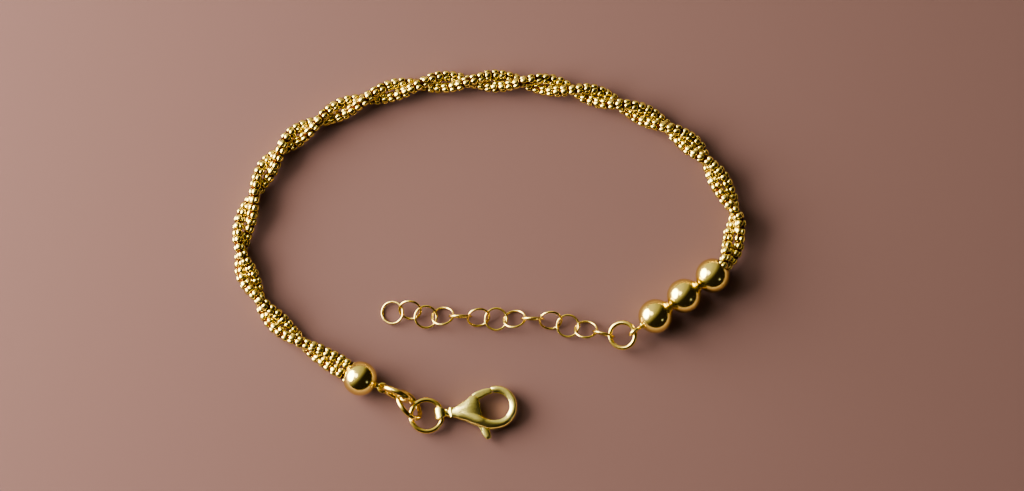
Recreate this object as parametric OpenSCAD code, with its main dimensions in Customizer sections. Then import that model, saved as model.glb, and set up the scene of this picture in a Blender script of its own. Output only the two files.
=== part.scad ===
// Bracelet of two popcorn chains twisted round each other, lying unfastened on a flat surface.
// Millimetres. Seen from above: X to the right, Y away, Z up, with the surface at Z = 0.

/* [Braid] */
// Diameter of each strand
strand_d = 1.55; // [1.2:0.05:1.6]
// Distance between the middles of the two strands
strand_spacing = 1.66; // [1.66:0.02:1.8]
// Number of flat sides round a strand
strand_sides = 8; // [6:1:12]

/* [Balls] */
// Diameter of each ball
ball_d = 4.6; // [4.4:0.1:4.6]
// Distance between the centres of neighbouring strung balls
ball_pitch = 4.68; // [4.66:0.02:4.8]
// Diameter of the hole drilled through a strung ball
bead_bore_d = 0.8; // [0.7:0.05:0.9]
// Diameter of the wire through the strung balls
pin_d = 0.5; // [0.4:0.05:0.54]
// Depth of the recess in the clasp end ball that takes both strands
end_recess = 1.4; // [1.2:0.1:1.6]

/* [Wire rings] */
// Outer diameter of the rings of the extension chain
ext_ring_od = 3.2; // [3.15:0.05:3.25]
// Wire thickness of the rings of the extension chain
ext_wire_d = 0.32; // [0.26:0.02:0.34]
// Outer diameter of the rings next to the clasp
clasp_ring_od = 4.88; // [4.8:0.02:4.9]
// Wire thickness of the rings next to the clasp
clasp_wire_d = 0.68; // [0.5:0.02:0.7]
// Wire thickness of the first of them, at the end ball
first_wire_d = 0.82; // [0.68:0.02:0.84]
// Outer diameter of the jump ring that carries the extension chain
jump_ring_od = 4; // [3.95:0.05:4.05]
// Wire thickness of that jump ring
jump_wire_d = 0.62; // [0.5:0.02:0.64]

/* [Lobster clasp] */
// Outer diameter of the hook
hook_od = 5.95; // [5.9:0.05:6.1]
// Diameter of the round opening inside the hook
hook_hole_d = 3.8; // [3.7:0.02:3.9]
// Thickness of the hook from face to face
hook_t = 1.4; // [1.2:0.1:1.5]
// Thickness of the body at its thickest
body_t = 2.2; // [2.1:0.05:2.3]
// Width of the slot that the lever works in
slot_t = 0.9; // [0.88:0.02:1]
// Thickness of the lever inside the slot
lever_t = 0.7; // [0.5:0.05:0.8]
// Diameter of the pivot pin
pivot_d = 0.6; // [0.4:0.05:0.65]
// Clearance round the pivot pin
pivot_clearance = 0.05; // [0.03:0.01:0.08]

/* [Hidden] */
$fn = 72;
GOLD = [0.86, 0.70, 0.32];
PALE_GOLD = [0.90, 0.78, 0.42];

// Shift that puts the middle of the whole outline over the origin
ORIGIN_SHIFT = [0.13, 0.12, 0];

// Middle line of the braid from the clasp end: x, y, z, half turns of twist so far.
// Each point with a half turn ending in .5 is a neck, where one strand crosses over the other.
ROUTE = [
    [-18.2, -16.35, 2.3, 0.0],
    [-20.0, -15.2, 2.25, 0.0],
    [-24.75, -12.2, 1.65, 0.5],
    [-28.1, -9.5, 1.65, 1.0],
    [-30.6, -6.4, 1.65, 1.5],
    [-33.2, 0.2, 1.65, 2.5],
    [-31.4, 7.9, 1.65, 3.5],
    [-27.9, 13.8, 1.65, 4.5],
    [-22.8, 17.7, 1.65, 5.5],
    [-16.4, 20.7, 1.65, 6.5],
    [-9.3, 22.6, 1.65, 7.5],
    [-2.6, 23.0, 1.65, 8.5],
    [4.5, 22.9, 1.65, 9.5],
    [11.2, 21.8, 1.65, 10.5],
    [17.4, 19.8, 1.65, 11.5],
    [23.9, 16.6, 1.65, 12.5],
    [28.8, 12.3, 1.65, 13.5],
    [32.5, 5.5, 1.65, 14.5],
    [32.45, 2.4, 1.75, 14.9],
    [32.0, -0.1, 2.1, 15.2],
    [31.2, -1.65, 2.3, 15.42],
    [30.25, -2.55, 2.3, 15.45]
];
RINGS_ON_TUBE = 80;
// Step along the route between the two points that give its direction
TANGENT_STEP = 0.01;

// Extra length of the shapes that cut through others
CUT_OVER = 1;

// Places of the balls, and the direction of the row of strung balls
END_BALL_AT = [-17.3, -16.85, ball_d / 2];
BEAD_A_AT = [21.95, -8.55, ball_d / 2];
ROW_TURN = 35.5;
row_dir = [cos(ROW_TURN), sin(ROW_TURN), 0];
bead_b_at = BEAD_A_AT + ball_pitch * row_dir;
bead_c_at = BEAD_A_AT + 2 * ball_pitch * row_dir;

// Recesses for the strands: the way each faces, how far the strands lie from side by side, and the
// clearance round them
END_RECESS_TURN = 149;
BEAD_C_RECESS_TURN = 41;
BEAD_C_RECESS_ROLL = 80;
RECESS_CLEARANCE = 0.2;
BEAD_C_RECESS_FLOOR = 0.3;
RECESS_ARC_STEPS = 8;

// Eye soldered to the clasp end ball: a flat ring on a short neck that starts inside the ball
END_EYE_AT = [-14.35, -18.1, 2.4];
END_EYE_R = 0.66;
END_EYE_WIRE_D = 0.36;
END_EYE_TURN = atan2(END_EYE_AT[1] - END_BALL_AT[1], END_EYE_AT[0] - END_BALL_AT[0]);
end_eye_reach = norm(END_EYE_AT - END_BALL_AT);
END_NECK_D = 0.56;
END_NECK_SUNK = 0.2;

// Bead pin: an upright eye beyond bead_a, joined by a small bead of solder, and a flat head inside bead_c.
// The first two are measured back from bead_a's centre, the head on from bead_c's.
PIN_EYE_REACH = 3.42;
PIN_EYE_R = 0.72;
PIN_SOLDER_AT = 2.62;
PIN_SOLDER_D = 0.62;
PIN_HEAD_D = 1.1;
PIN_HEAD_T = 0.2;
PIN_HEAD_AT = 0.42;

// Rings: x, y, z of the centre, then tilt about the ring's own X, pitch about its own Y, turn about Z
CLASP_RINGS = [
    [-12.49, -18.93, 2.5, 85.3, 0, -24],
    [-10.83, -20.38, 2.23, -62, 0, -54],
    [-8.5, -21.7, 1.2, 0, 3, 7]
];
JUMP_RING = [17.55, -11.05, 1.95, 7.7, -11.2, 0];
EXT_RINGS = [
    [-13.05, -7.9, 0.55, 4, -14, 0],
    [-10.7, -7.6, 1.15, 42, 0, -10],
    [-8.6, -8.5, 0.8, 8, 5, 0],
    [-6.35, -8.4, 1.05, -34, -12, 0],
    [-4.0, -8.5, 1.65, -88, 0, 0],
    [-1.6, -8.6, 1.2, 44, 12, 0],
    [0.75, -8.8, 0.85, 4, 0, 0],
    [3.2, -8.8, 1.1, -36, -12, 0],
    [5.6, -8.8, 1.65, -88, 0, 0],
    [8.0, -9.0, 1.2, 44, 12, -10],
    [10.3, -9.7, 0.85, 6, 0, -10],
    [12.7, -10.2, 1.1, -36, -12, -15],
    [15.05, -10.85, 1.65, -88, 0, -15]
];

// Clasp: placed by the centre of its round opening, with the tail along its own minus X
CLASP_AT = [0.6, -20.5, body_t / 2];
CLASP_TURN = 7;
PIVOT_AT = [-2.9, 0.5];
// Distance from the pivot to the hook's tip face, which the gate swings past
TIP_REACH = 3.25;
// Arc cleared for the gate in front of that tip, from its start
SWEEP_START = 20;
SWEEP_ANGLE = 45;
// Distance of the pivot pin's ends below the cheeks
PIVOT_INSET = 0.2;
// Ends of the hook's arc, counterclockwise from its own plus X
HOOK_START = 215;
HOOK_END = 100;
TAIL_EYE_X = -7.25;
TAIL_EYE_D = 1.7;
TAIL_EYE_W = 1.6;
TAIL_HOLE_D = 1.1;
COLLAR_X = -5.8;
COLLAR_D = 1.54;
COLLAR_W = 0.72;
TAIL_NECK_D = 1;
// Balls whose common hull is the clasp body: x, y, radius
BODY_BALLS = [
    [-5.1, -0.1, 0.72], [-3.1, -0.2, body_t / 2], [-2.85, 1.45, 0.55], [-2.5, -1.9, 0.72], [-1.7, -2.15, 0.68]
];
// Balls whose hull is the gate bar, and those of the thumb tab
GATE_BALLS = [[-1.95, 1.74, 0.47], [-0.3, 2.22, 0.4]];
GATE_GAP = 0.1;
TAB_BALLS = [[-1.88, -2.7, 0.4], [-1.45, -3.8, 0.42]];
HULL_SIDES = 28;
// Outline of the lever's flat web, from the gate down to the tab
LEVER_WEB = [
    [-1.7, 2.0], [-2.5, 2.0], [-3.4, 1.2], [-3.6, 0.4], [-3.2, -0.7], [-2.7, -2.0], [-2.2, -3.0],
    [-1.6, -3.0], [-1.9, -2.0], [-2.2, -0.7], [-2.2, 0.6], [-1.9, 1.35]
];
// Outline of the slot, wide enough for the lever's whole swing
SLOT = [
    [-1.0, -4.4], [-1.2, -2.9], [-1.6, -2.0], [-1.6, 3.2], [-2.6, 3.2], [-4.2, 1.6], [-4.3, 0],
    [-4.3, -4.4]
];

// Curve through the route's points; outer ones are mirrored at the ends
function route_point(i) =
    i < 0 ? 2 * ROUTE[0] - ROUTE[1] :
    i > len(ROUTE) - 1 ? 2 * ROUTE[len(ROUTE) - 1] - ROUTE[len(ROUTE) - 2] :
    ROUTE[i];
function blend(a, b, c, d, t) =
    0.5 * (2 * b + (c - a) * t + (2 * a - 5 * b + 4 * c - d) * t * t + (3 * b - a - 3 * c + d) * t * t * t);
function route_at(u) =
    let (i = min(floor(u), len(ROUTE) - 2))
    blend(route_point(i - 1), route_point(i), route_point(i + 1), route_point(i + 2), u - i);

function unit(v) = v / norm(v);
function place_of(row) = [row[0], row[1], row[2]];

// Outward direction of a strand from the braid's middle; the twist is left-handed
function strand_side(u, phase) =
    let (
        ahead = place_of(route_at(u + TANGENT_STEP) - route_at(u - TANGENT_STEP)),
        left = unit([-ahead[1], ahead[0], 0]),
        turn = phase - 180 * route_at(u)[3]
    )
    cos(turn) * left + [0, 0, sin(turn)];
function strand_at(u, phase) = place_of(route_at(u)) + strand_spacing / 2 * strand_side(u, phase);

// One ring of corners round a strand, square to its run
function strand_ring(u, phase) =
    let (
        run = unit(strand_at(u + TANGENT_STEP, phase) - strand_at(u - TANGENT_STEP, phase)),
        across = unit(cross(run, strand_side(u, phase))),
        out = cross(across, run)
    )
    [for (k = [0 : strand_sides - 1])
        let (a = 360 * k / strand_sides)
        strand_at(u, phase) + strand_d / 2 * (cos(a) * out + sin(a) * across)];

// Places a child by a table row: centre, tilt, pitch and turn
module place(row) {
    translate(ORIGIN_SHIFT + place_of(row)) rotate([row[3], row[4], row[5]]) children();
}

module wire_ring(radius, wire) {
    rotate_extrude() translate([radius, 0]) circle(d = wire);
}

// A round bar that runs from the origin along X
module bar_x(d, from_x, to_x) {
    translate([from_x, 0, 0]) rotate([0, 90, 0]) cylinder(d = d, h = to_x - from_x);
}

// One strand as a plain tube along its own helix
module strand(phase) {
    last_u = len(ROUTE) - 1;
    n = strand_sides;
    corners = [for (r = [0 : RINGS_ON_TUBE]) each strand_ring(last_u * r / RINGS_ON_TUBE, phase)];
    near_end = [[for (k = [0 : n - 1]) k]];
    far_end = [[for (k = [n - 1 : -1 : 0]) RINGS_ON_TUBE * n + k]];
    sides = [for (r = [0 : RINGS_ON_TUBE - 1]) for (k = [0 : n - 1])
        let (a = r * n + k, b = r * n + (k + 1) % n)
        each [[a, a + n, b + n], [a, b + n, b]]];
    translate(ORIGIN_SHIFT) polyhedron(points = corners, faces = concat(near_end, far_end, sides));
}

module strand_a() {
    color(GOLD) strand(0);
}

module strand_b() {
    color(GOLD) strand(180);
}

// Recess for both strands beside each other in Y, open towards plus X
module strand_recess(floor_x) {
    half_h = strand_d / 2 + RECESS_CLEARANCE;
    half_w = strand_spacing / 2;
    outline = [for (side = [1, -1]) for (k = [0 : RECESS_ARC_STEPS])
        let (a = 180 * k / RECESS_ARC_STEPS)
        [side * (half_w + half_h * sin(a)), side * half_h * cos(a)]];
    translate([floor_x, 0, 0]) rotate([90, 0, 90]) linear_extrude(ball_d) polygon(outline);
}

// Ball on the clasp end of the braid with its soldered eye
module end_ball() {
    color(PALE_GOLD) translate(ORIGIN_SHIFT) union() {
        translate(END_BALL_AT) {
            difference() {
                sphere(d = ball_d);
                rotate([0, 0, END_RECESS_TURN]) strand_recess(ball_d / 2 - end_recess);
            }
            rotate([0, 0, END_EYE_TURN])
                bar_x(END_NECK_D, ball_d / 2 - END_NECK_SUNK, end_eye_reach - END_EYE_R);
        }
        translate(END_EYE_AT) wire_ring(END_EYE_R, END_EYE_WIRE_D);
    }
}

// A ball drilled along the row
module drilled_ball(at) {
    translate(ORIGIN_SHIFT + at) difference() {
        sphere(d = ball_d);
        rotate([0, 0, ROW_TURN]) bar_x(bead_bore_d, -ball_d, ball_d);
    }
}

module bead_a() {
    color(PALE_GOLD) drilled_ball(BEAD_A_AT);
}

module bead_b() {
    color(PALE_GOLD) drilled_ball(bead_b_at);
}

// The strung ball next to the braid is drilled from the row's side into its recess
module bead_c() {
    bore_end = ball_d / 4;
    color(PALE_GOLD) translate(ORIGIN_SHIFT + bead_c_at) difference() {
        rotate([0, 0, BEAD_C_RECESS_TURN - 90]) sphere(d = ball_d);
        rotate([0, 0, ROW_TURN]) bar_x(bead_bore_d, -ball_d, bore_end);
        rotate([0, 0, BEAD_C_RECESS_TURN]) rotate([BEAD_C_RECESS_ROLL, 0, 0])
            strand_recess(BEAD_C_RECESS_FLOOR);
    }
}

// Wire through the three strung balls
module bead_pin() {
    head_x = 2 * ball_pitch + PIN_HEAD_AT;
    color(PALE_GOLD) translate(ORIGIN_SHIFT + BEAD_A_AT) rotate([0, 0, ROW_TURN]) union() {
        bar_x(pin_d, PIN_EYE_R - PIN_EYE_REACH, head_x + PIN_HEAD_T / 2);
        bar_x(PIN_HEAD_D, head_x, head_x + PIN_HEAD_T);
        translate([-PIN_SOLDER_AT, 0, 0]) sphere(d = PIN_SOLDER_D);
        translate([-PIN_EYE_REACH, 0, 0]) rotate([90, 0, 0]) wire_ring(PIN_EYE_R, pin_d);
    }
}

module clasp_ring(i) {
    wire_d = i == 0 ? first_wire_d : clasp_wire_d;
    color(GOLD) place(CLASP_RINGS[i]) wire_ring((clasp_ring_od - wire_d) / 2, wire_d);
}

module jump_ring() {
    color(GOLD) place(JUMP_RING) wire_ring((jump_ring_od - jump_wire_d) / 2, jump_wire_d);
}

module ext_ring(i) {
    color(GOLD) place(EXT_RINGS[i]) wire_ring((ext_ring_od - ext_wire_d) / 2, ext_wire_d);
}

// Hull of small balls lying in the clasp's middle plane: x, y, radius
module ball_hull(balls) {
    hull() for (b = balls) translate([b[0], b[1], 0]) sphere(r = b[2], $fn = HULL_SIDES);
}

module in_clasp() {
    translate(ORIGIN_SHIFT + CLASP_AT) rotate([0, 0, CLASP_TURN]) children();
}

// The hook's round arc, of barrel section
module hook_arc() {
    hook_w = (hook_od - hook_hole_d) / 2;
    rotate([0, 0, HOOK_START]) rotate_extrude(angle = 360 + HOOK_END - HOOK_START)
        translate([(hook_od + hook_hole_d) / 4, 0]) intersection() {
            circle(d = hook_t);
            square([hook_w, hook_t + CUT_OVER], center = true);
        }
}

// Tail of the clasp: collar, neck and the eye that turns about Y
module clasp_tail() {
    bar_x(TAIL_NECK_D, TAIL_EYE_X, BODY_BALLS[0][0]);
    translate([COLLAR_X, 0, 0]) intersection() {
        sphere(d = COLLAR_D);
        cube([COLLAR_W, COLLAR_D + CUT_OVER, COLLAR_D + CUT_OVER], center = true);
    }
    translate([TAIL_EYE_X, 0, 0]) rotate([90, 0, 0]) cylinder(d = TAIL_EYE_D, h = TAIL_EYE_W, center = true);
}

module clasp_body() {
    color(PALE_GOLD) in_clasp() union() {
        difference() {
            union() {
                ball_hull(BODY_BALLS);
                hook_arc();
                clasp_tail();
            }
            cylinder(d = hook_hole_d, h = body_t + CUT_OVER, center = true);
            translate([TAIL_EYE_X, 0, 0]) rotate([90, 0, 0])
                cylinder(d = TAIL_HOLE_D, h = TAIL_EYE_W + CUT_OVER, center = true);
            linear_extrude(slot_t, center = true) polygon(SLOT);
            translate([PIVOT_AT[0], PIVOT_AT[1], 0]) gate_sweep();
        }
        translate([PIVOT_AT[0], PIVOT_AT[1], 0])
            cylinder(d = pivot_d, h = body_t - 2 * PIVOT_INSET, center = true);
    }
}

// Room cut round the pivot up to the hook's tip face, over the gate's height
module gate_sweep() {
    rotate([0, 0, SWEEP_START]) rotate_extrude(angle = SWEEP_ANGLE)
        translate([TIP_REACH / 2, -hook_t]) square([TIP_REACH / 2, 2 * hook_t]);
}

module clasp_lever() {
    color(GOLD) in_clasp() difference() {
        union() {
            linear_extrude(lever_t, center = true) polygon(LEVER_WEB);
            intersection() {
                ball_hull(GATE_BALLS);
                translate([PIVOT_AT[0], PIVOT_AT[1], 0])
                    cylinder(r = TIP_REACH - GATE_GAP, h = body_t, center = true);
            }
            ball_hull(TAB_BALLS);
        }
        translate([PIVOT_AT[0], PIVOT_AT[1], 0])
            cylinder(d = pivot_d + 2 * pivot_clearance, h = body_t, center = true);
    }
}

strand_a();
strand_b();
end_ball();
bead_a();
bead_b();
bead_c();
bead_pin();
clasp_ring(0);  // clasp_ring_1
clasp_ring(1);  // clasp_ring_2
clasp_ring(2);  // clasp_ring_3
clasp_body();
clasp_lever();
jump_ring();
ext_ring(0);  // ext_ring_01
ext_ring(1);  // ext_ring_02
ext_ring(2);  // ext_ring_03
ext_ring(3);  // ext_ring_04
ext_ring(4);  // ext_ring_05
ext_ring(5);  // ext_ring_06
ext_ring(6);  // ext_ring_07
ext_ring(7);  // ext_ring_08
ext_ring(8);  // ext_ring_09
ext_ring(9);  // ext_ring_10
ext_ring(10);  // ext_ring_11
ext_ring(11);  // ext_ring_12
ext_ring(12);  // ext_ring_13
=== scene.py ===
# Bracelet of two popcorn chains twisted round each other, lying unfastened on a flat surface.
# Metres. Seen from above: X to the right, Y away, Z up, with the surface at Z = 0.
import math
import random

import bmesh
import bpy
from mathutils import Matrix, Vector


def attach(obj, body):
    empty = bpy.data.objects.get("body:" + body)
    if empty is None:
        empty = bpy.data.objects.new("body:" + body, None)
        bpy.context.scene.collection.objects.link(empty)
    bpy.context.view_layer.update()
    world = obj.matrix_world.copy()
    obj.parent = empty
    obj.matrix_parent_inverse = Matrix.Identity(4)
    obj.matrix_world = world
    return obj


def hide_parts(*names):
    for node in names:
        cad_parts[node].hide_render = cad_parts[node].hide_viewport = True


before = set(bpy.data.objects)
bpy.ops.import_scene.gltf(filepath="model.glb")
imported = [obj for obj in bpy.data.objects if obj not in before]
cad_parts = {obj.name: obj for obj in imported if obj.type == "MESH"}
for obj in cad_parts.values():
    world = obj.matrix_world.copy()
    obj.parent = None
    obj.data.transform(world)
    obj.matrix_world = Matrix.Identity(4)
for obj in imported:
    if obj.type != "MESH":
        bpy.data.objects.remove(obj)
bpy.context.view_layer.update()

MM = 0.001
TAU = 2 * math.pi

# Quarter turns: a shape drawn in XY stands up in XZ, or stands up in YZ, and a bar about Z lies along X
STAND = Matrix.Rotation(math.pi / 2, 4, "X")
STAND_ACROSS = Matrix.Rotation(math.pi / 2, 4, "Z") @ STAND
LIE_ALONG_X = Matrix.Rotation(math.pi / 2, 4, "Y")

# Points closer than this are one point
MERGE = 0.0005 * MM

# From here to the end ball's eye, sizes and places are those of the part's source. Its shift puts the middle
# of the whole outline over the origin.
SHIFT = Vector((0.13, 0.12, 0)) * MM

# Middle line of the braid from the clasp end: x, y, z in millimetres, half turns of twist so far
ROUTE = [
    (-18.2, -16.35, 2.3, 0.0),
    (-20.0, -15.2, 2.25, 0.0),
    (-24.75, -12.2, 1.65, 0.5),
    (-28.1, -9.5, 1.65, 1.0),
    (-30.6, -6.4, 1.65, 1.5),
    (-33.2, 0.2, 1.65, 2.5),
    (-31.4, 7.9, 1.65, 3.5),
    (-27.9, 13.8, 1.65, 4.5),
    (-22.8, 17.7, 1.65, 5.5),
    (-16.4, 20.7, 1.65, 6.5),
    (-9.3, 22.6, 1.65, 7.5),
    (-2.6, 23.0, 1.65, 8.5),
    (4.5, 22.9, 1.65, 9.5),
    (11.2, 21.8, 1.65, 10.5),
    (17.4, 19.8, 1.65, 11.5),
    (23.9, 16.6, 1.65, 12.5),
    (28.8, 12.3, 1.65, 13.5),
    (32.5, 5.5, 1.65, 14.5),
    (32.45, 2.4, 1.75, 14.9),
    (32.0, -0.1, 2.1, 15.2),
    (31.2, -1.65, 2.3, 15.42),
    (30.25, -2.55, 2.3, 15.45),
]

# Rings: x, y, z of the centre in millimetres, then tilt about X, pitch about Y, turn about Z in degrees
CLASP_RINGS = [
    (-12.49, -18.93, 2.5, 85.3, 0, -24),
    (-10.83, -20.38, 2.23, -62, 0, -54),
    (-8.5, -21.7, 1.2, 0, 3, 7),
]
JUMP_RING = (17.55, -11.05, 1.95, 7.7, -11.2, 0)
EXT_RINGS = [
    (-13.05, -7.9, 0.55, 4, -14, 0),
    (-10.7, -7.6, 1.15, 42, 0, -10),
    (-8.6, -8.5, 0.8, 8, 5, 0),
    (-6.35, -8.4, 1.05, -34, -12, 0),
    (-4.0, -8.5, 1.65, -88, 0, 0),
    (-1.6, -8.6, 1.2, 44, 12, 0),
    (0.75, -8.8, 0.85, 4, 0, 0),
    (3.2, -8.8, 1.1, -36, -12, 0),
    (5.6, -8.8, 1.65, -88, 0, 0),
    (8.0, -9.0, 1.2, 44, 12, -10),
    (10.3, -9.7, 0.85, 6, 0, -10),
    (12.7, -10.2, 1.1, -36, -12, -15),
    (15.05, -10.85, 1.65, -88, 0, -15),
]

# Each kind of ring: radius to the middle of its wire, radius of the wire
FIRST_RING_SIZE = 2.03 * MM, 0.41 * MM
CLASP_RING_SIZE = 2.1 * MM, 0.34 * MM
JUMP_RING_SIZE = 1.69 * MM, 0.31 * MM
EXT_RING_SIZE = 1.44 * MM, 0.16 * MM

BALL_R = 2.3 * MM
BALL_PITCH = 4.68 * MM
BORE_R = 0.4 * MM
BEAD_A_AT = Vector((21.95, -8.55, 2.3)) * MM
ROW_TURN = math.radians(35.5)
END_BALL_AT = Vector((-17.3, -16.85, 2.3)) * MM
END_EYE_AT = Vector((-14.35, -18.1, 2.4)) * MM


# Materials
def linear(hex_colour):
    """An sRGB hex colour as linear RGBA."""
    parts = [int(hex_colour[i : i + 2], 16) / 255 for i in (1, 3, 5)]
    return (*[p / 12.92 if p <= 0.04045 else ((p + 0.055) / 1.055) ** 2.4 for p in parts], 1)


def add(tree, kind, settings=(), links=()):
    """Adds a node with its settings and input links: (input, node, output) each."""
    made = tree.nodes.new(kind)
    for name, value in dict(settings).items():
        if name in made.inputs:
            made.inputs[name].default_value = value
        else:
            setattr(made, name, value)
    for name, source, output in links:
        tree.links.new(source.outputs[output], made.inputs[name])
    return made


def metal(name, colour, roughness, dents=0, dent_width=1):
    """A metal whose surface may wave slightly: depth and width of its shallow dents in millimetres."""
    made = bpy.data.materials.new(name)
    made.use_nodes = True
    tree = made.node_tree
    shader = tree.nodes["Principled BSDF"]
    shader.inputs["Base Color"].default_value = linear(colour)
    shader.inputs["Metallic"].default_value = 1
    shader.inputs["Roughness"].default_value = roughness
    if dents:
        place = add(tree, "ShaderNodeTexCoord")
        size = {"Scale": 1 / (dent_width * MM), "Detail": 3}
        waves = add(tree, "ShaderNodeTexNoise", size, [("Vector", place, "Object")])
        depth = {"Strength": 1, "Distance": dents * MM}
        bump = add(tree, "ShaderNodeBump", depth, [("Height", waves, "Fac")])
        tree.links.new(bump.outputs["Normal"], shader.inputs["Normal"])
    return made


# Plated balls, polished by tumbling: clear reflections with soft edges, bent a little by shallow dents
polished_gold = metal("polished_gold_plate", "#F2DC88", 0.17, dents=0.012, dent_width=0.9)
# Chain pressed from thin plated sheet: each small kernel catches one bright fleck and has a dark side
chain_gold = metal("faceted_gold_chain", "#ECD884", 0.22)
# Casting, tumbled and plated: paler and softer than the balls, with wide highlights that waver
clasp_gold = metal("polished_gold_casting", "#FFF09A", 0.25, dents=0.012, dent_width=0.5)
# Drawn wire: one thin bright line runs along each ring
wire_gold = metal("drawn_gold_wire", "#EED480", 0.2)
# Painted shade: a dark brown core stands for the shade in the chain's hollow inside and darkens the gaps
# between the kernels
shaded_inside = metal("painted_shade_chain_inside", "#42200C", 0.5)


def nap_paper():
    """Matt dusty rose paper: its fine nap turns paler where it is seen or lit from low down."""
    made = bpy.data.materials.new("dusty_rose_paper")
    made.use_nodes = True
    sockets = made.node_tree.nodes["Principled BSDF"].inputs
    sockets["Base Color"].default_value = linear("#70534F")
    sockets["Roughness"].default_value = 0.9
    sockets["Sheen Weight"].default_value = 0.6
    sockets["Sheen Roughness"].default_value = 0.4
    sockets["Sheen Tint"].default_value = linear("#E8D0C0")
    return made


# Tools that several pieces share
def mesh_of(bm, name):
    """A closed shape as a mesh with its faces outwards."""
    bmesh.ops.recalc_face_normals(bm, faces=bm.faces)
    mesh = bpy.data.meshes.new(name)
    bm.to_mesh(mesh)
    bm.free()
    return mesh


def piece(name, bm, material, node, body="bracelet"):
    """Makes a smooth-shaded object that stands for one CAD node."""
    bmesh.ops.remove_doubles(bm, verts=bm.verts, dist=MERGE)
    mesh = mesh_of(bm, name)
    mesh.shade_smooth()
    mesh.materials.append(material)
    made = bpy.data.objects.new(name, mesh)
    bpy.context.scene.collection.objects.link(made)
    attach(made, body)
    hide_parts(node)
    return made


def between(a, b, c, d, t):
    """The point at t from b to c on a smooth curve through all four."""
    return 0.5 * (2 * b + (c - a) * t + (2 * a - 5 * b + 4 * c - d) * t * t + (3 * b - a - 3 * c + d) * t**3)


def spin(bm, geom, axis, steps):
    """One full turn round an axis through the origin, closed on itself."""
    bmesh.ops.spin(bm, geom=geom, axis=axis, cent=(0, 0, 0), angle=TAU, steps=steps, use_merge=True)


def lathe(bm, profile, place, steps, closed=False):
    """Spins a profile of (x, radius) points round X and places it."""
    line = [bm.verts.new((x, r, 0)) for x, r in profile]
    ends = line[1:] + line[:1] if closed else line[1:]
    edges = [bm.edges.new(pair) for pair in zip(line, ends)]
    spin(bm, line + edges, (1, 0, 0), steps)
    bmesh.ops.transform(bm, matrix=place, verts=bm.verts)


def rod(bm, place, length, radius, end_radius=None, segments=32):
    """A round bar about Z round the origin, then placed; it tapers to end_radius where one is given."""
    bmesh.ops.create_cone(
        bm,
        cap_ends=True,
        segments=segments,
        radius1=radius,
        radius2=radius if end_radius is None else end_radius,
        depth=length,
        matrix=place,
    )


def wire_ring(radius, wire, steps=72, sides=16):
    """A round ring of wire about Z."""
    bm = bmesh.new()
    section = Matrix.Translation((radius, 0, 0)) @ STAND
    bmesh.ops.create_circle(bm, segments=sides, radius=wire, matrix=section)
    spin(bm, bm.verts[:] + bm.edges[:], (0, 0, 1), steps)
    return bm


def prism(bm, outline, thickness):
    """A flat plate of an outline, centred on the XY plane."""
    face = bm.faces.new([bm.verts.new((x, y, -thickness / 2)) for x, y in outline])
    grown = bmesh.ops.extrude_face_region(bm, geom=[face])["geom"]
    top = [v for v in grown if isinstance(v, bmesh.types.BMVert)]
    bmesh.ops.translate(bm, vec=(0, 0, thickness), verts=top)


def cut_mesh(solid, cutters, voxel=0, rounding=0):
    """A solid less its cutters; a voxel size also fuses it and rounds its edges, as a casting has them."""
    holder = bpy.data.objects.new("solid", solid)
    bpy.context.scene.collection.objects.link(holder)
    used = [holder]
    for cutter in cutters:
        tool = bpy.data.objects.new("cutter", cutter)
        bpy.context.scene.collection.objects.link(tool)
        cut = holder.modifiers.new("cut", "BOOLEAN")
        cut.operation = "DIFFERENCE"
        cut.solver = "EXACT"
        cut.use_self = True
        cut.object = tool
        used.append(tool)
    if voxel:
        fuse = holder.modifiers.new("fuse", "REMESH")
        fuse.mode = "VOXEL"
        fuse.voxel_size = voxel
        smooth = holder.modifiers.new("smooth", "SMOOTH")
        smooth.factor = 0.5
        smooth.iterations = rounding
    bpy.context.view_layer.update()
    mesh = bpy.data.meshes.new_from_object(holder.evaluated_get(bpy.context.evaluated_depsgraph_get()))
    for tool in used:
        bpy.data.objects.remove(tool)
    return mesh


# Braid: each chain is rows of four kernels, one row to a link, and each row is turned by half a kernel.
# The chains lie a little closer than the solids do, since their kernels reach into each other's gaps.
STRAND_SPACING = 1.56 * MM
LINK_PITCH = 1.0 * MM
KERNELS = 4

# A kernel: half its size outwards, round the strand and along it, and how far out its middle lies
KERNEL_HALF = Vector((0.38, 0.45, 0.51)) * MM
KERNEL_AT = 0.43 * MM
# Its form: 0 is rounded all over and 1 is a box
KERNEL_SQUARENESS = 0.1

# How far a kernel lies out of line at most: turned round the strand and tilted in radians, shifted along it
KERNEL_TURN, KERNEL_TILT, KERNEL_SHIFT = 0.22, 0.25, 0.08 * MM
SEED = 7

# Steps along a strand, and how many of them each straight stretch of its core takes
ROUTE_STEPS = 4000
CORE_STEP = 10
CORE_R = 0.6 * MM
# Step along the route to each side that gives its direction
TANGENT_STEP = 0.01


def route_point(i):
    """A point of the route, which goes on straight past its two ends."""
    if i < 0:
        return 2 * Vector(ROUTE[0]) - Vector(ROUTE[1])
    if i > len(ROUTE) - 1:
        return 2 * Vector(ROUTE[-1]) - Vector(ROUTE[-2])
    return Vector(ROUTE[i])


def route_at(u):
    """The braid's middle line and twist at u, counted in points of the route."""
    i = min(int(math.floor(u)), len(ROUTE) - 2)
    return between(*[route_point(i + k) for k in (-1, 0, 1, 2)], u - i)


def strand_side(u, phase):
    """Outward direction of a strand from the braid's middle; the twist is left-handed."""
    ahead = route_at(u + TANGENT_STEP) - route_at(u - TANGENT_STEP)
    left = Vector((-ahead[1], ahead[0], 0)).normalized()
    turn = phase - math.pi * route_at(u)[3]
    return math.cos(turn) * left + Vector((0, 0, math.sin(turn)))


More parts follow.
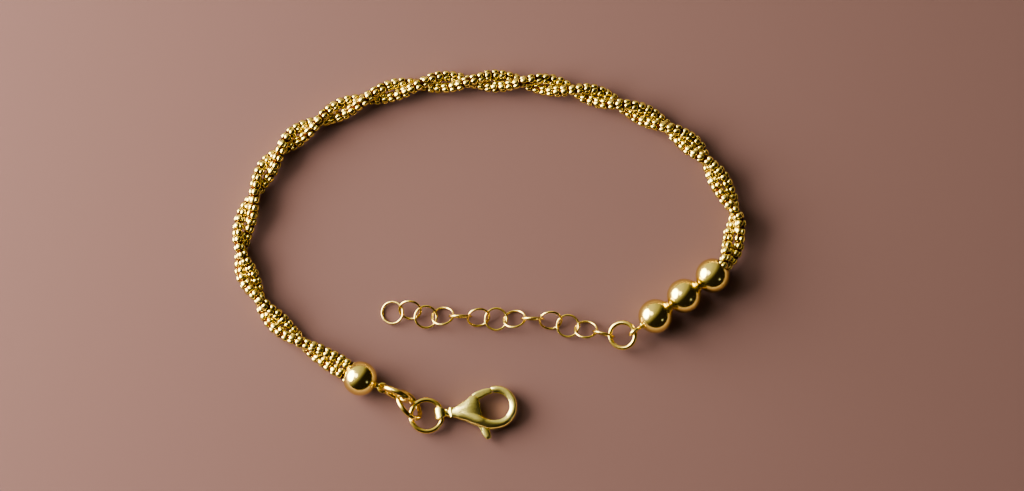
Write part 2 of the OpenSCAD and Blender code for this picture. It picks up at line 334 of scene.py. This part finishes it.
def strand_at(u, phase):
    """A point on a strand's middle line."""
    return route_at(u).to_3d() * MM + SHIFT + STRAND_SPACING / 2 * strand_side(u, phase)


def kernel_mesh():
    """One kernel, a rounded pillow: X outwards, Y round the strand, Z along it."""
    bm = bmesh.new()
    bmesh.ops.create_cube(bm, size=2)
    bmesh.ops.subdivide_edges(bm, edges=bm.edges[:], cuts=2, use_grid_fill=True)
    for v in bm.verts:
        v.co = v.co.normalized().lerp(v.co, KERNEL_SQUARENESS)
    bmesh.ops.scale(bm, vec=KERNEL_HALF, verts=bm.verts)
    return mesh_of(bm, "kernel")


def kernel_row(bm, kernel, row, at, run, across, luck):
    """Adds one row of kernels round the strand at a point, each a little out of line."""
    out = across.cross(run)
    for q in range(KERNELS):
        a = row * TAU / (2 * KERNELS) + TAU * q / KERNELS + luck.uniform(-KERNEL_TURN, KERNEL_TURN)
        away = math.cos(a) * out + math.sin(a) * across
        place = Matrix((away, run.cross(away), run)).transposed().to_4x4()
        place.translation = at + KERNEL_AT * away + luck.uniform(-KERNEL_SHIFT, KERNEL_SHIFT) * run
        place = place @ Matrix.Rotation(luck.uniform(-KERNEL_TILT, KERNEL_TILT), 4, "X")
        kernel.transform(place)
        bm.from_mesh(kernel)
        kernel.transform(place.inverted())


def core_mesh(points):
    """The dark core that shows between the kernels, painted shade for the chain's hollow inside: a tube
    through points of the strand.
    """
    curve = bpy.data.curves.new("core", "CURVE")
    curve.dimensions = "3D"
    curve.bevel_depth = CORE_R
    curve.bevel_resolution = 1
    curve.use_fill_caps = True
    line = curve.splines.new("POLY")
    line.points.add(len(points) - 1)
    for p, at in zip(line.points, points):
        p.co = (*at, 1)
    holder = bpy.data.objects.new("core", curve)
    tube = bpy.data.meshes.new_from_object(holder)
    bpy.data.objects.remove(holder)
    for face in tube.polygons:
        face.material_index = 1
    return tube


def strand(name, node, phase):
    """One chain of the braid, with a row of kernels at each link pitch along it."""
    us = [(len(ROUTE) - 1) * k / ROUTE_STEPS for k in range(ROUTE_STEPS + 1)]
    points = [strand_at(u, phase) for u in us]
    luck = random.Random(SEED)
    bm = bmesh.new()
    kernel = kernel_mesh()
    travelled = 0.0
    rows = 0
    for k in range(1, ROUTE_STEPS):
        travelled += (points[k] - points[k - 1]).length
        if travelled < (rows + 0.5) * LINK_PITCH:
            continue
        run = (points[k + 1] - points[k - 1]).normalized()
        across = run.cross(strand_side(us[k], phase)).normalized()
        kernel_row(bm, kernel, rows, points[k], run, across, luck)
        rows += 1
    # The dark core of painted shade, on the strand's second material
    bm.from_mesh(core_mesh(points[::CORE_STEP]))
    piece(name, bm, chain_gold, node).data.materials.append(shaded_inside)


# Rings
def ring_piece(node, row, size):
    """A closed wire ring in its place."""
    bm = wire_ring(*size)
    place = Matrix.Translation(SHIFT + Vector(row[:3]) * MM)
    for angle, axis in zip(reversed(row[3:]), "ZYX"):
        place = place @ Matrix.Rotation(math.radians(angle), 4, axis)
    bmesh.ops.transform(bm, matrix=place, verts=bm.verts)
    piece("round_" + node.replace("clasp_", ""), bm, wire_gold, node)


# Balls: low collars round the bore, wide towards the braid and narrow towards the free end
COLLAR_TOP = 2.3 * MM
COLLAR_EDGE = 0.06 * MM
WIDE_COLLAR_R = 0.87 * MM
NARROW_COLLAR_R = 0.6 * MM
BALL_STEPS = 48
BALL_SIDES = 96
# The wall of a bore shows only near its mouth, so it starts this far from the ball's middle
BORE_FROM = 0.6 * BALL_R
# Edges with a sharper turn than this aren't shaded smooth
CRISP = math.radians(40)

# Recess that both strands go into: half its height, how far the middles of its two round ends lie out
RECESS_HALF_H = 0.975 * MM
RECESS_HALF_W = 0.83 * MM
RECESS_STEPS = 16

# End ball: the way its recess faces, the floor of the recess from the ball's middle
END_RECESS_TURN = math.radians(149)
END_RECESS_FLOOR = 0.9 * MM

# Eye of the end ball: its ring and wire. Its neck narrows towards it and is sunk a little at both ends.
END_EYE_R, END_EYE_WIRE_R = 0.58 * MM, 0.13 * MM
NECK_ROOT_R, NECK_TIP_R = 0.42 * MM, 0.26 * MM
NECK_SUNK = 0.1 * MM

# Ball next to the braid: its bore ends inside, and its recess is turned and rolled
BEAD_C_STEPS = 64
BEAD_C_BORE_END = 0.25 * BALL_R
BEAD_C_RECESS_TURN = math.radians(41)
BEAD_C_RECESS_ROLL = math.radians(80)
BEAD_C_RECESS_FLOOR = 0.3 * MM

# Pin through the three balls: eye at its free end with a drop of solder, flat head inside the last ball
PIN_R = 0.25 * MM
PIN_EYE_R, PIN_EYE_REACH = 0.72 * MM, 3.42 * MM
SOLDER_R, SOLDER_REACH = 0.31 * MM, 2.62 * MM
PIN_HEAD_R, PIN_HEAD_T = 0.55 * MM, 0.2 * MM
PIN_HEAD_X = 2 * BALL_PITCH + 0.42 * MM


def row_place(k):
    """Place of ball k in the row of three, counted from the free end; its X points along the row."""
    at = SHIFT + BEAD_A_AT + k * BALL_PITCH * Vector((math.cos(ROW_TURN), math.sin(ROW_TURN), 0))
    return Matrix.Translation(at) @ Matrix.Rotation(ROW_TURN, 4, "Z")


def ball_end(collar):
    """Half outline of one end of a drilled ball, out from its bore, with a low collar: (x, radius)."""
    inside = [(BORE_FROM, BORE_R), (COLLAR_TOP - COLLAR_EDGE, BORE_R), (COLLAR_TOP, BORE_R + COLLAR_EDGE)]
    return inside + [(COLLAR_TOP, collar - COLLAR_EDGE), (COLLAR_TOP - COLLAR_EDGE, collar)]


def far_end(collar):
    """The same for the other end, in towards its bore."""
    return [(-x, r) for x, r in reversed(ball_end(collar))]


def round_part(angles):
    """Points of a ball's half outline at angles from X: (x, radius)."""
    return [(BALL_R * math.cos(a), BALL_R * math.sin(a)) for a in angles]


def drilled_ball(name, k):
    """A ball drilled right through."""
    start = math.asin(WIDE_COLLAR_R / BALL_R)
    end = math.pi - math.asin(NARROW_COLLAR_R / BALL_R)
    angles = [start + (end - start) * i / BALL_STEPS for i in range(BALL_STEPS + 1)]
    bm = bmesh.new()
    outline = ball_end(WIDE_COLLAR_R) + round_part(angles) + far_end(NARROW_COLLAR_R)
    lathe(bm, outline, row_place(k), BALL_SIDES)
    piece("smooth_" + name, bm, polished_gold, name)


def strand_recess(floor_x, place):
    """Cutter for the mouth of a ball that both strands go into; its floor is floor_x from the middle."""
    bm = bmesh.new()
    outline = []
    for side in (1, -1):
        for k in range(RECESS_STEPS + 1):
            a = math.pi * k / RECESS_STEPS
            across = RECESS_HALF_W + RECESS_HALF_H * math.sin(a)
            outline.append((side * across, side * RECESS_HALF_H * math.cos(a)))
    prism(bm, outline, 2 * BALL_R)
    stood = place @ Matrix.Translation((floor_x + BALL_R, 0, 0)) @ STAND_ACROSS
    bmesh.ops.transform(bm, matrix=stood, verts=bm.verts)
    return mesh_of(bm, "recess")


def ball_with_recess(name, node, bm, recess):
    """A ball with its recess cut, whose edges stay crisp."""
    mesh = cut_mesh(mesh_of(bm, name), [recess])
    bm = bmesh.new()
    bm.from_mesh(mesh)
    made = piece(name, bm, polished_gold, node)
    made.data.set_sharp_from_angle(angle=CRISP)
    return made


def end_ball():
    """The ball on the clasp end, with a neck and an eye added to it."""
    middle = Matrix.Translation(SHIFT + END_BALL_AT)
    bm = bmesh.new()
    bmesh.ops.create_uvsphere(bm, u_segments=BALL_SIDES, v_segments=64, radius=BALL_R, matrix=middle)
    recess = strand_recess(END_RECESS_FLOOR, middle @ Matrix.Rotation(END_RECESS_TURN, 4, "Z"))
    made = ball_with_recess("smooth_end_ball", "end_ball", bm, recess)
    bm = bmesh.new()
    bm.from_mesh(made.data)
    eye = wire_ring(END_EYE_R, END_EYE_WIRE_R, steps=48)
    bmesh.ops.transform(eye, matrix=Matrix.Translation(SHIFT + END_EYE_AT), verts=eye.verts)
    bm.from_mesh(mesh_of(eye, "eye"))
    toward = END_EYE_AT - END_BALL_AT
    neck_end = toward.length - END_EYE_R
    neck = middle @ Matrix.Rotation(math.atan2(toward.y, toward.x), 4, "Z")
    neck = neck @ Matrix.Translation(((BALL_R + neck_end) / 2, 0, 0)) @ LIE_ALONG_X
    rod(bm, neck, neck_end - BALL_R + 2 * NECK_SUNK, NECK_ROOT_R, NECK_TIP_R)
    bm.to_mesh(made.data)
    bm.free()


def bead_c():
    """The ball next to the braid, drilled from the row's side into its recess."""
    collar_angle = math.asin(NARROW_COLLAR_R / BALL_R)
    angles = [math.pi * k / BEAD_C_STEPS for k in range(BEAD_C_STEPS + 1)]
    skin = round_part([a for a in angles if a < math.pi - collar_angle])
    bore = [(BEAD_C_BORE_END, BORE_R), (BEAD_C_BORE_END, 0)]
    bm = bmesh.new()
    lathe(bm, skin + far_end(NARROW_COLLAR_R) + bore, row_place(2), BALL_SIDES)
    bmesh.ops.remove_doubles(bm, verts=bm.verts, dist=MERGE)
    mouth = Matrix.Translation(row_place(2).translation) @ Matrix.Rotation(BEAD_C_RECESS_TURN, 4, "Z")
    mouth = mouth @ Matrix.Rotation(BEAD_C_RECESS_ROLL, 4, "X")
    ball_with_recess("smooth_bead_c", "bead_c", bm, strand_recess(BEAD_C_RECESS_FLOOR, mouth))


def bead_pin():
    """The wire through the three balls, with its eye, solder and head."""
    row = row_place(0)
    bm = wire_ring(PIN_EYE_R, PIN_R, steps=48, sides=20)
    eye = row @ Matrix.Translation((-PIN_EYE_REACH, 0, 0)) @ STAND
    bmesh.ops.transform(bm, matrix=eye, verts=bm.verts)
    solder = row @ Matrix.Translation((-SOLDER_REACH, 0, 0))
    bmesh.ops.create_uvsphere(bm, u_segments=32, v_segments=16, radius=SOLDER_R, matrix=solder)
    wire = PIN_R, PIN_EYE_R - PIN_EYE_REACH, PIN_HEAD_X
    head = PIN_HEAD_R, PIN_HEAD_X, PIN_HEAD_X + PIN_HEAD_T
    for radius, low, high in (wire, head):
        rod(bm, row @ Matrix.Translation(((low + high) / 2, 0, 0)) @ LIE_ALONG_X, high - low, radius)
    made = piece("smooth_bead_pin", bm, polished_gold, "bead_pin")
    made.data.set_sharp_from_angle(angle=CRISP)


# Clasp, in millimetres from the middle of its opening until it is placed
CLASP_AT = Vector((0.6, -20.5, 1.1)) * MM
CLASP_TURN = math.radians(7)

# Cheeks along X: x, middle y, half height, half thickness, crest. A section is thickest at its crest,
# which lies that far from its middle: to the left of its run, or outwards in the hook.
CHEEKS = [
    (-5.95, -0.12, 0.5, 0.52, 0),
    (-5.68, -0.13, 0.63, 0.66, 0),
    (-5.3, -0.15, 0.8, 0.74, 0),
    (-4.8, -0.16, 1.06, 0.86, 0),
    (-3.86, -0.12, 1.5, 0.97, -0.2),
    (-3.27, -0.1, 1.92, 0.98, -0.3),
    (-2.85, -0.15, 2.14, 0.95, -0.4),
    (-2.5, -0.28, 2.2, 0.9, -0.4),
    (-2.2, -0.45, 2.15, 0.83, -0.4),
    (-2.02, -0.6, 1.95, 0.78, -0.4),
    (-1.86, -0.75, 1.6, 0.7, -0.4),
]
# Ridge that runs over the cheeks from the collar into the hook: x, y, half width, half thickness, crest
RIDGE = [
    (-5.3, -0.15, 0.5, 0.68, 0),
    (-4.8, -0.22, 0.72, 0.84, 0.1),
    (-4.3, -0.4, 0.88, 0.94, 0.1),
    (-3.6, -0.78, 0.95, 1.02, 0.1),
    (-3.0, -1.15, 0.95, 1.06, 0.1),
    (-2.4, -1.56, 0.88, 1.09, 0.1),
    (-1.9, -1.84, 0.8, 1.06, 0.05),
    (-1.5, -2.02, 0.72, 0.98, 0),
]
# Hook round the opening: angle in degrees, middle radius, half width, half thickness, crest
HOOK = [
    (196, 2.8, 0.72, 0.9, 0),
    (210, 2.76, 0.76, 0.96, 0),
    (226, 2.64, 0.76, 1.02, 0),
    (245, 2.45, 0.76, 0.92, 0.02),
    (270, 2.28, 0.71, 0.79, 0.06),
    (300, 2.32, 0.66, 0.71, 0.1),
    (330, 2.37, 0.62, 0.7, 0.15),
    (360, 2.39, 0.6, 0.7, 0.25),
    (390, 2.36, 0.61, 0.68, 0.26),
    (420, 2.3, 0.6, 0.64, 0.22),
    (442, 2.26, 0.57, 0.6, 0.15),
    (455, 2.27, 0.5, 0.52, 0.1),
]
# The lever's gate from its root to its free end, and its thumb tab, in the ridge's columns
GATE = [
    (-2.7, 1.5, 0.45, 0.46, 0),
    (-2.2, 1.72, 0.55, 0.48, 0),
    (-1.7, 1.87, 0.55, 0.48, 0),
    (-1.08, 2.07, 0.48, 0.47, 0),
    (-0.43, 2.14, 0.41, 0.45, 0),
    (-0.15, 2.16, 0.36, 0.4, 0),
]
TAB = [
    (-1.85, -2.4, 0.5, 0.38, 0),
    (-1.7, -2.95, 0.58, 0.4, 0),
    (-1.5, -3.5, 0.55, 0.4, 0),
    (-1.36, -3.9, 0.46, 0.37, 0),
    (-1.27, -4.18, 0.3, 0.26, 0),
]
# Power of each section's outline: 2 is an ellipse, more is nearer to a rectangle
CHEEKS_POWER, RIDGE_POWER, HOOK_POWER, GATE_POWER, TAB_POWER = 3, 2.1, 2.3, 5, 2.4
# Sections from one row of a table to the next
ROW_STEPS = 4

# Flat web of the lever between the cheeks, and the slot that it swings in: x, y
LEVER_WEB = [
    (-1.7, 2.0), (-2.5, 2.0), (-3.4, 1.2), (-3.6, 0.4), (-3.2, -0.7), (-2.7, -2.0), (-2.2, -3.0),
    (-1.6, -3.0), (-1.9, -2.0), (-2.2, -0.7), (-2.2, 0.6), (-1.9, 1.35),
]
SLOT = [
    (-1.0, -4.4), (-1.2, -2.9), (-1.6, -2.0), (-1.6, 3.2), (-2.6, 3.2), (-4.2, 1.6), (-4.3, 0), (-4.3, -4.4),
]
LEVER_T = 0.7
SLOT_T = 0.9

# Neck behind the cheeks, a round bar along X
NECK_AT = (-5.9, -0.09, 0)
NECK_R = 0.5
NECK_LENGTH = 1.9

# Collar round the neck, an oval bar along Y
COLLAR_AT = (-5.82, -0.09, 0)
COLLAR_HALF_X, COLLAR_HALF_Z = 0.45, 0.66
COLLAR_WIDTH = 1.34

# Tail eye: section of its wall as (along its bore, radius), and how it narrows towards the collar
TAIL_EYE = [(0.8, 0.56), (0.8, 0.78), (0.7, 0.87), (-0.7, 0.87), (-0.8, 0.78), (-0.8, 0.56)]
TAIL_EYE_X = -7.25
NARROWING, NARROWS_FROM, NARROWS_OVER = 0.38, -7.2, 0.5

# Oval opening of the hook, and the depth of its cutter
OPENING_HALF_X, OPENING_HALF_Y = 1.97, 1.8
OPENING_DEPTH = 4

# Room for the gate's swing: a wedge round the lever's pivot between two angles, right of a line
PIVOT_AT = (-2.9, 0.5, 0)
SWING_R = 3.25
SWING_T = 1.8
SWING_FROM, SWING_TO = math.radians(20), math.radians(65)
SWING_X = -0.95

# Size of the voxels that fuse each casting, and how often its surface is then smoothed
BODY_VOXEL, BODY_ROUNDING = 0.055, 6
LEVER_VOXEL, LEVER_ROUNDING = 0.04, 4


def smooth_rows(rows):
    """Rows between the rows of a table, on a curve through them."""
    made = []
    padded = [Vector(row) for row in (rows[0], *rows, rows[-1])]
    for i in range(len(rows) - 1):
        made += [between(*padded[i : i + 4], k / ROW_STEPS) for k in range(ROW_STEPS)]
    return made + [padded[-1]]


def loft(bm, places, power, sides=32):
    """Closed skin through sections: (place, half width along X, half thickness along Y, X of the crest)."""
    loops = []
    for place, half_w, half_t, crest in places:
        ring = bmesh.ops.create_circle(bm, segments=sides, radius=1)["verts"]
        for v in ring:
            c, q = v.co.x, v.co.y
            across = math.copysign(abs(c) ** (2 / power), c)
            v.co.x = crest + (half_w - crest * math.copysign(1, across)) * across
            v.co.y = half_t * math.copysign(abs(q) ** (2 / power), q)
        bmesh.ops.transform(bm, matrix=place, verts=ring)
        edges = list({e for v in ring for e in v.link_edges})
        if loops:
            bmesh.ops.bridge_loops(bm, edges=loops[-1] + edges)
        loops.append(edges)
    for edges in (loops[0], loops[-1]):
        bmesh.ops.contextual_create(bm, geom=edges)


def cheek_sections():
    """Sections of the cheeks, each straight across X."""
    made = []
    for x, y, half_h, half_t, crest in smooth_rows(CHEEKS):
        made.append((Matrix.Translation((x, y, 0)) @ STAND_ACROSS, half_h, half_t, crest))
    return made


def hook_sections():
    """Sections of the hook, each on a ray from the middle of the opening."""
    made = []
    for angle, radius, half_w, half_t, crest in smooth_rows(HOOK):
        place = Matrix.Rotation(math.radians(angle), 4, "Z") @ Matrix.Translation((radius, 0, 0)) @ STAND
        made.append((place, half_w, half_t, crest))
    return made


def path_sections(table):
    """Upright sections across a path through a table's points."""
    made = []
    rows = smooth_rows(table)
    for i, (x, y, half_w, half_t, crest) in enumerate(rows):
        before, after = rows[max(i - 1, 0)], rows[min(i + 1, len(rows) - 1)]
        turn = math.atan2(after[1] - before[1], after[0] - before[0])
        place = Matrix.Translation((x, y, 0)) @ Matrix.Rotation(turn, 4, "Z") @ STAND_ACROSS
        made.append((place, half_w, half_t, crest))
    return made


def tail_eye():
    """The eye on the clasp's tail, a short tube about Y whose width narrows towards the collar."""
    bm = bmesh.new()
    place = Matrix.Translation((TAIL_EYE_X, 0, 0)) @ Matrix.Rotation(math.pi / 2, 4, "Z")
    lathe(bm, TAIL_EYE, place, steps=48, closed=True)
    for v in bm.verts:
        v.co.y *= 1 - NARROWING * min(max((v.co.x - NARROWS_FROM) / NARROWS_OVER, 0), 1)
    return mesh_of(bm, "tail_eye")


def slot():
    """Cutter for the slot between the cheeks."""
    bm = bmesh.new()
    prism(bm, SLOT, SLOT_T)
    return mesh_of(bm, "slot")


def opening():
    """Cutter for the hook's opening."""
    bm = bmesh.new()
    rod(bm, Matrix.Diagonal((OPENING_HALF_X, OPENING_HALF_Y, 1, 1)), OPENING_DEPTH, 1, segments=64)
    return mesh_of(bm, "opening")


def trim(bm, at, normal, beyond=False):
    """Cuts a solid off flat at a plane, behind its normal or beyond it, and closes it."""
    cut = bmesh.ops.bisect_plane(
        bm,
        geom=bm.verts[:] + bm.edges[:] + bm.faces[:],
        plane_co=at,
        plane_no=normal,
        clear_inner=not beyond,
        clear_outer=beyond,
    )
    rim = [e for e in cut["geom_cut"] if isinstance(e, bmesh.types.BMEdge)]
    bmesh.ops.contextual_create(bm, geom=rim)


def gate_room():
    """Cutter for the room that the gate swings in."""
    bm = bmesh.new()
    rod(bm, Matrix.Translation(PIVOT_AT), SWING_T, SWING_R, segments=96)
    trim(bm, PIVOT_AT, (-math.sin(SWING_FROM), math.cos(SWING_FROM), 0))
    trim(bm, PIVOT_AT, (-math.sin(SWING_TO), math.cos(SWING_TO), 0), beyond=True)
    trim(bm, (SWING_X, 0, 0), (1, 0, 0))
    return mesh_of(bm, "gate_room")


def cast(name, node, body, mesh):
    """A polished casting of a mesh in the clasp's own millimetres, put in its place."""
    bm = bmesh.new()
    bm.from_mesh(mesh)
    bmesh.ops.scale(bm, vec=(MM, MM, MM), verts=bm.verts)
    place = Matrix.Translation(SHIFT + CLASP_AT) @ Matrix.Rotation(CLASP_TURN, 4, "Z")
    bmesh.ops.transform(bm, matrix=place, verts=bm.verts)
    piece(name, bm, clasp_gold, node, body)


def clasp_body():
    """Cheeks, ridge, hook, neck, collar and tail eye as one casting."""
    bm = bmesh.new()
    loft(bm, cheek_sections(), CHEEKS_POWER)
    loft(bm, path_sections(RIDGE), RIDGE_POWER)
    loft(bm, hook_sections(), HOOK_POWER)
    rod(bm, Matrix.Translation(NECK_AT) @ LIE_ALONG_X, NECK_LENGTH, NECK_R)
    oval = Matrix.Diagonal((COLLAR_HALF_X, 1, COLLAR_HALF_Z, 1))
    rod(bm, Matrix.Translation(COLLAR_AT) @ oval @ STAND, COLLAR_WIDTH, 1)
    bm.from_mesh(tail_eye())
    solid = mesh_of(bm, "clasp_solid")
    mesh = cut_mesh(solid, [slot(), opening(), gate_room()], BODY_VOXEL, BODY_ROUNDING)
    cast("cast_clasp_body", "clasp_body", "bracelet", mesh)


def clasp_lever():
    """Web, gate and thumb tab as one casting."""
    bm = bmesh.new()
    prism(bm, LEVER_WEB, LEVER_T)
    loft(bm, path_sections(GATE), GATE_POWER)
    loft(bm, path_sections(TAB), TAB_POWER)
    mesh = cut_mesh(mesh_of(bm, "lever_solid"), [], LEVER_VOXEL, LEVER_ROUNDING)
    cast("cast_clasp_lever", "clasp_lever", "lever", mesh)


# Floor, light and camera
FLOOR_SIZE = 2

# A room lit from the left: the way to its bright side, and its shades from the dark side to the bright one
LIT_SIDE = (-0.74, 0.62, 0.22)
SHADES = [(0.02, "#28241E"), (0.2, "#746F5C"), (0.42, "#BCB89C"), (0.9, "#E8E2C8")]

# Lamps, a large round window, a smaller one above it and a weak cool lamp on the right: place, the point
# that it faces, width, height, power in watts, colour, shape
LAMPS = {
    "window": ((-0.24, 0.05, 0.13), (0, 0.01, 0.13), 0.3, 0.26, 3.3, "#FFFAF0", "ELLIPSE"),
    "window_sun": ((-0.22, 0.1, 0.36), (0, 0, 0), 0.16, 0.2, 0.6, "#FFFAF0", "RECTANGLE"),
    "small_lamp": ((0.63, -0.4, 0.5), (0, 0, 0), 0.16, 0.16, 0.09, "#E8F0FF", "RECTANGLE"),
}

# The camera looks down at this angle and sees this much of the floor across the picture
ELEVATION = math.radians(84)
PICTURE_WIDTH = 136.53 * MM
LOOK_AT = Vector((3.0, 1.26, 0)) * MM
CAMERA_DISTANCE = 1.0
SENSOR = 36


def floor_sheet():
    """The sheet of paper under the bracelet."""
    bm = bmesh.new()
    bmesh.ops.create_grid(bm, x_segments=1, y_segments=1, size=FLOOR_SIZE)
    mesh = bpy.data.meshes.new("floor")
    bm.to_mesh(mesh)
    bm.free()
    mesh.materials.append(nap_paper())
    made = bpy.data.objects.new("floor", mesh)
    bpy.context.scene.collection.objects.link(made)
    return made


def studio_room():
    """The world: a soft change from a dark side to a bright one."""
    world = bpy.data.worlds.new("studio")
    bpy.context.scene.world = world
    world.use_nodes = True
    tree = world.node_tree
    way = add(tree, "ShaderNodeTexCoord")
    lit = add(tree, "ShaderNodeVectorMath", {"operation": "DOT_PRODUCT"}, [(0, way, "Object")])
    lit.inputs[1].default_value = LIT_SIDE
    fade = add(tree, "ShaderNodeValToRGB", (), [("Fac", lit, "Value")])
    fade.color_ramp.interpolation = "EASE"
    stops = fade.color_ramp.elements
    for stop, (place, colour) in zip(stops, (SHADES[0], SHADES[-1])):
        stop.position = place
        stop.color = linear(colour)
    for place, colour in SHADES[1:-1]:
        stops.new(place).color = linear(colour)
    background = tree.nodes["Background"]
    tree.links.new(fade.outputs["Color"], background.inputs["Color"])
    background.inputs["Strength"].default_value = 1


def softbox(name, at, toward, width, height, power, colour, shape):
    """A soft flat lamp that the camera doesn't see."""
    lamp = bpy.data.lights.new(name, "AREA")
    lamp.shape = shape
    lamp.size = width
    lamp.size_y = height
    lamp.energy = power
    lamp.color = linear(colour)[:3]
    made = bpy.data.objects.new(name, lamp)
    made.location = at
    made.visible_camera = False
    made.rotation_euler = (Vector(toward) - Vector(at)).to_track_quat("-Z", "Y").to_euler()
    bpy.context.scene.collection.objects.link(made)


def photo_camera():
    """The camera at the photograph's angle."""
    optics = bpy.data.cameras.new("camera")
    optics.sensor_width = SENSOR
    optics.lens = SENSOR * CAMERA_DISTANCE / PICTURE_WIDTH
    made = bpy.data.objects.new("camera", optics)
    back = Vector((0, -math.cos(ELEVATION), math.sin(ELEVATION)))
    made.location = LOOK_AT + back * CAMERA_DISTANCE
    made.rotation_euler = (-back).to_track_quat("-Z", "Y").to_euler()
    bpy.context.scene.collection.objects.link(made)
    bpy.context.scene.camera = made
    return made


# The bracelet
strand("popcorn_a", "strand_a", 0)
strand("popcorn_b", "strand_b", math.pi)

ring_piece("clasp_ring_1", CLASP_RINGS[0], FIRST_RING_SIZE)
for i, row in enumerate(CLASP_RINGS[1:]):
    ring_piece(f"clasp_ring_{i + 2}", row, CLASP_RING_SIZE)
ring_piece("jump_ring", JUMP_RING, JUMP_RING_SIZE)
for i, row in enumerate(EXT_RINGS):
    ring_piece(f"ext_ring_{i + 1:02d}", row, EXT_RING_SIZE)

drilled_ball("bead_a", 0)
drilled_ball("bead_b", 1)
end_ball()
bead_c()
bead_pin()

clasp_body()
clasp_lever()

# The studio, with the deep darks and full lights of the photograph
floor = floor_sheet()
studio_room()
for name, lamp in LAMPS.items():
    softbox(name, *lamp)
camera = photo_camera()
bpy.context.scene.view_settings.look = "AgX - Medium High Contrast"
